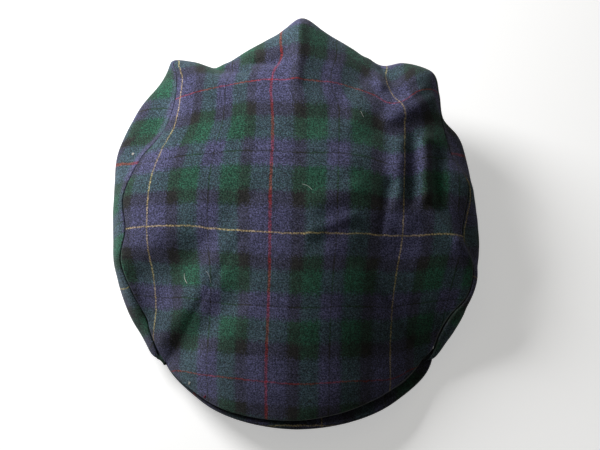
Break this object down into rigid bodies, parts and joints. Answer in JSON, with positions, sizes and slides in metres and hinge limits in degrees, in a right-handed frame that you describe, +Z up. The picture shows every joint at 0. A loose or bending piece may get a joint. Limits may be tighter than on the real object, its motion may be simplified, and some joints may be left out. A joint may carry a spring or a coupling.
{
  "type": "flat cap",
  "caption": "Soft flat cap in tartan wool cloth, with a long top panel, two side panels and a curved peak, resting on its hem.",
  "frame": {"origin": "centre of the cap's bounding box in X and Y, at the surface it rests on", "axes": "+Z up, -Y towards the peak, +X to the wearer's left; left and right in the names are as seen in the picture, so left is -X"},
  "size_m": [0.2434, 0.271, 0.0862],
  "materials": {
    "top": "matte tartan wool",
    "side": "matte tartan wool",
    "peak": "matte tartan wool over a board"
  },
  "bodies": {
    "root": {"top_panel": "top", "side_panel_left": "side", "side_panel_right": "side", "peak": "peak"}
  },
  "joints": []
}
